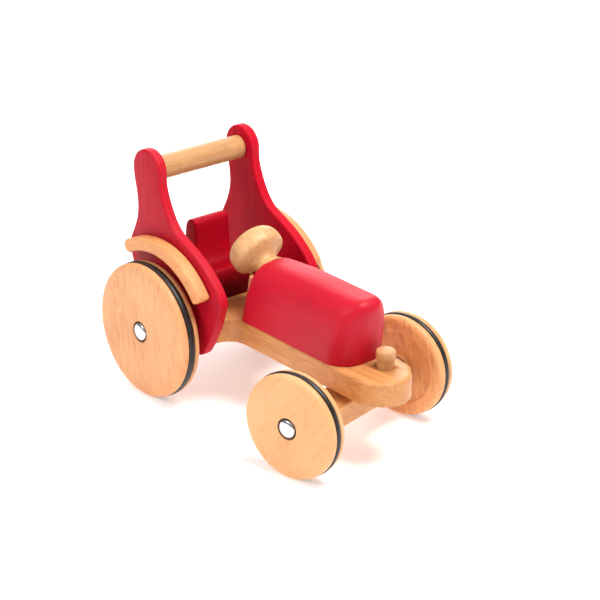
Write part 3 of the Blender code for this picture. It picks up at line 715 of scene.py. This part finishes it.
peg_shape = [
    (6.2, 48.8), (6.7, 49.3), (6.7, 79.5), (7.1, 79.5), (7.5, 80.0), (7.5, 85.5), (7.3, 86.2), (7.0, 86.7),
    (6.5, 87.0), (5.9, 87.2), (3.0, 87.4), (0.3, 87.4),
]
peg = turned("peg", peg_shape, Matrix.Translation((kingpin.x, kingpin.y, 0.0)), 72)
finish_piece(peg, "kingpin_peg", wood("peg_wood", (0.65, 0.340, 0.143), (0.52, 0.243, 0.088), "Z", 6.1, 1.0))


# --------------------------------------------------------- seat and console

SEAT_OUTLINE = (
    (23.5, 93.5), (21.0, 97.5), (16.5, 98.0), (8.0, 96.6), (2.0, 99.5),
    (-1.6, 107.0), (-3.0, 117.0), (-3.6, 128.0), (-5.4, 131.2), (-9.0, 132.2), (-13.6, 130.8),
    (-16.4, 126.6), (-17.2, 120.0),
)
seat_foot = BOARD_TOP + GAP
seat_outline = [(SEAT_FRONT, seat_foot), *curve_through(SEAT_OUTLINE, 5), (SEAT_REAR, seat_foot)]
seat = slab("seat", seat_outline, -SEAT_HALF_WIDTH, SEAT_HALF_WIDTH, 1.5, DESIGN, "XZ")
# The seat's lower part is painted darker all round: painted shade for the shadowed footwell in front of the
# backrest.
finish_piece(seat, "seat_block", red_wood("seat_red", "Y", 9.2, face=(0.50, 0.002, 0.014), gloss=0.08,
                                          painted_shade_heights=(0.082, 0.106)))

dress("console_plate", wood("console_wood", (0.78, 0.400, 0.155), (0.58, 0.250, 0.080), "Z", 4.4))


# --------------------------------------------------- CAD nodes that stay

dress("front_axle_beam", wood("beam_wood", (0.74, 0.360, 0.130), (0.54, 0.215, 0.065), "Y", 8.3, 1.0))
dress("steer_tongue", wood("tongue_wood", (0.72, 0.340, 0.120), (0.52, 0.200, 0.060), "X", 2.7, 1.0))
dress("knob_stem", wood("stem_wood", (0.66, 0.350, 0.150), (0.47, 0.215, 0.080), "X", 5.2, 1.0))
for end in ("front", "rear"):
    dress(f"axle_rod_{end}", bright_metal(f"rod_metal_{end}", (0.56, 0.55, 0.54), 0.26, drawn=True))
    for side in ("left", "right"):
        dress(f"spacer_{end}_{side}", plain_plastic(f"spacer_plastic_{end}_{side}", (0.50, 0.36, 0.24)))


# ------------------------------------------------------ floor, light, camera

floor_mesh = bpy.data.meshes.new("floor")
floor_mesh.from_pydata([(-4, -4, 0), (4, -4, 0), (4, 4, 0), (-4, 4, 0)], [], [(0, 1, 2, 3)])
floor = bpy.data.objects.new("floor", floor_mesh)
bpy.context.scene.collection.objects.link(floor)
paper = Nodes("floor_paper")
paper.shader.inputs["Base Color"].default_value = (0.94, 0.94, 0.94, 1.0)
paper.shader.inputs["Roughness"].default_value = 0.85
paper.shader.inputs["Emission Color"].default_value = (1.0, 0.98, 0.99, 1.0)
paper.shader.inputs["Emission Strength"].default_value = 0.36
floor_mesh.materials.append(paper.material)

world = bpy.data.worlds.new("studio")
world.use_nodes = True
tree = world.node_tree
toward = tree.nodes.new("ShaderNodeSeparateXYZ")
tree.links.new(tree.nodes.new("ShaderNodeTexCoord").outputs["Generated"], toward.inputs[0])
sky = tree.nodes.new("ShaderNodeValToRGB")
sky.color_ramp.elements[0].position = 0.0
sky.color_ramp.elements[0].color = (0.22, 0.22, 0.23, 1.0)
sky.color_ramp.elements[1].position = 0.62
sky.color_ramp.elements[1].color = (1.0, 1.0, 1.0, 1.0)
tree.links.new(toward.outputs["Z"], sky.inputs["Fac"])
tree.links.new(sky.outputs["Color"], tree.nodes["Background"].inputs["Color"])
tree.nodes["Background"].inputs["Strength"].default_value = 0.60
bpy.context.scene.world = world
bpy.context.scene.view_settings.view_transform = "Standard"


def area_light(name, at, size, power):
    """A round softbox at a point in metres, aimed at the tractor's middle."""
    aim = (0.0, 0.0, 0.08)
    data = bpy.data.lights.new(name, "AREA")
    data.shape = "DISK"
    data.size = size
    data.energy = power
    lamp = bpy.data.objects.new(name, data)
    bpy.context.scene.collection.objects.link(lamp)
    back = (Vector(at) - Vector(aim)).normalized()
    lamp.matrix_world = aimed(at, back, (1.0, 0.3, 0.0))


area_light("left_softbox", (-0.3, -1.5, 1.1), 0.9, 10.0)
area_light("top_softbox", (0.5, 0.2, 1.6), 0.8, 27.0)
area_light("back_softbox", (-1.1, 0.95, 0.75), 1.2, 10.0)

CAMERA_AZIMUTH, CAMERA_ELEVATION, CAMERA_ROLL = 48.736, 23.819, 1.15  # degrees
CAMERA_DISTANCE, CAMERA_LENS = 1.7375, 133.76
azimuth, elevation, roll = (math.radians(turn) for turn in (CAMERA_AZIMUTH, CAMERA_ELEVATION, CAMERA_ROLL))
target = Vector((REAR_X + 0.08142, 0.01924, 0.08447))
back = Vector((math.sin(azimuth) * math.cos(elevation), -math.cos(azimuth) * math.cos(elevation),
               math.sin(elevation)))
right = Vector((math.cos(azimuth), math.sin(azimuth), 0.0))
above = back.cross(right)
camera_x = right * math.cos(roll) + above * math.sin(roll)
camera_y = above * math.cos(roll) - right * math.sin(roll)
camera_data = bpy.data.cameras.new("camera")
camera_data.lens = CAMERA_LENS
camera_data.sensor_width = 36.0
camera_data.clip_end = 20.0
camera = bpy.data.objects.new("camera", camera_data)
bpy.context.scene.collection.objects.link(camera)
turn = Matrix((camera_x, camera_y, back)).transposed().to_4x4()
camera.matrix_world = Matrix.Translation(target + back * CAMERA_DISTANCE) @ turn
bpy.context.scene.camera = camera
